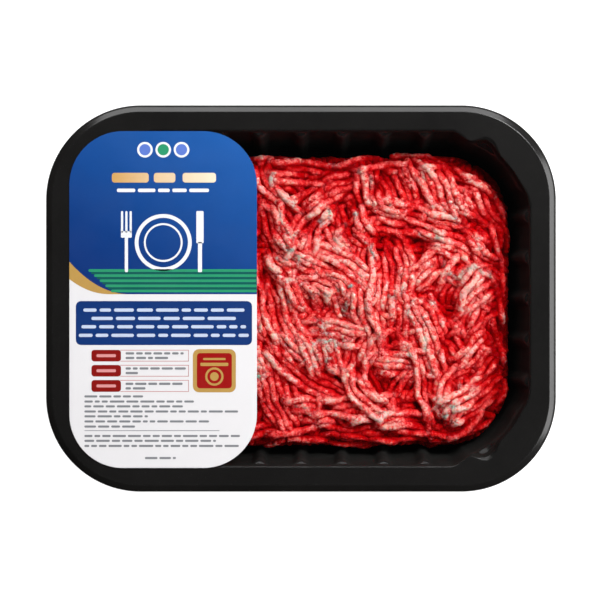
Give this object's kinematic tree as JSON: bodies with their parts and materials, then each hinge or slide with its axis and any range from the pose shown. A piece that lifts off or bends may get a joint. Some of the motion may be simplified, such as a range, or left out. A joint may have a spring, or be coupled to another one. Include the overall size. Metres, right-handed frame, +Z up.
{
  "type": "meat tray pack",
  "caption": "Sealed food pack: a ribbed black plastic tray of minced beef under a clear lid film, with a paper label across one side.",
  "frame": {"origin": "centre of the bounding box's base, on the surface that the tray stands on", "axes": "+X along the tray's length, away from the label; +Y across it, to the top edge of the label; +Z up out of the tray"},
  "size_m": [0.19, 0.144, 0.0424],
  "materials": {
    "tray_plastic": "satin black moulded sheet",
    "mince": null,
    "clear_film": null,
    "label_paper": "coated paper printed with plain fields of blue, white, green, red and gold"
  },
  "bodies": {
    "root": {"tray": "tray_plastic", "mince": "mince", "lid_film": "clear_film", "label": "label_paper"}
  },
  "joints": []
}
